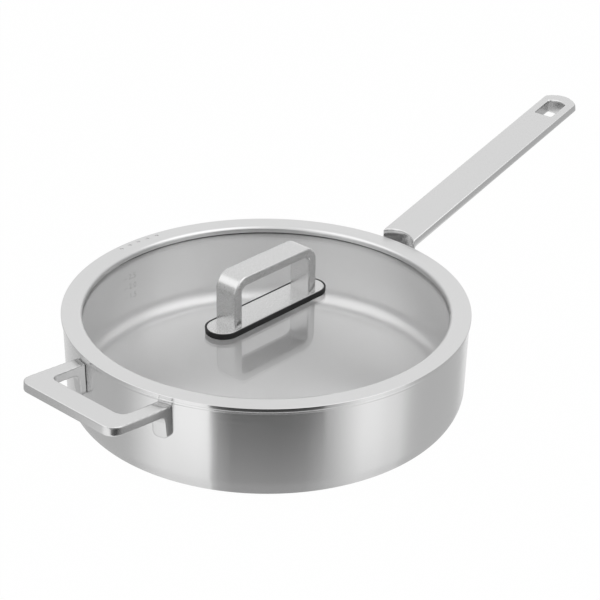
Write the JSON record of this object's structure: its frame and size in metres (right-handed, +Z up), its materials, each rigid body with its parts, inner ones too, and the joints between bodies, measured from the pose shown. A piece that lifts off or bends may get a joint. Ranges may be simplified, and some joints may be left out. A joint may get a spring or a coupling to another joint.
{
  "type": "saute pan with lid",
  "caption": "Straight-sided clad steel saute pan with a long handle, a helper handle and a lift-off glass straining lid.",
  "frame": {"origin": "middle of the underside of the pan, on the surface that it stands on", "axes": "+X along the long handle, +Z up, +Y towards the straining holes in the lid rim"},
  "size_m": [0.5541, 0.291, 0.1347],
  "materials": {
    "outer_steel": "stainless steel brushed round the wall",
    "core_aluminium": "rolled, bonded between the skins",
    "inner_steel": "stainless steel brushed round the wall",
    "handle_steel": "cast stainless steel, satin",
    "rim_steel": "folded stainless sheet, satin top and polished edge",
    "screw_steel": "plain machined stainless steel",
    "silicone": "matt moulded silicone",
    "tempered_glass": "clear tempered glass"
  },
  "bodies": {
    "pan": {"outer_shell": "outer_steel", "core_layer": "core_aluminium", "inner_shell": "inner_steel", "long_handle": "handle_steel", "helper_handle": "handle_steel"},
    "lid": {"lid_rim": "rim_steel", "glass_channel": "rim_steel", "glass_seal": "silicone", "lid_glass": "tempered_glass", "lid_handle_gasket": "silicone", "lid_handle_plate": "handle_steel", "lid_handle": "handle_steel", "glass_bushes": "silicone", "screw_washers": "screw_steel", "lid_screws": "screw_steel"}
  },
  "joints": [
    {"name": "lid_lift", "type": "slide", "parent": "pan", "child": "lid", "axis": [0, 0, 1], "range_m": [0, 0.12]}
  ]
}
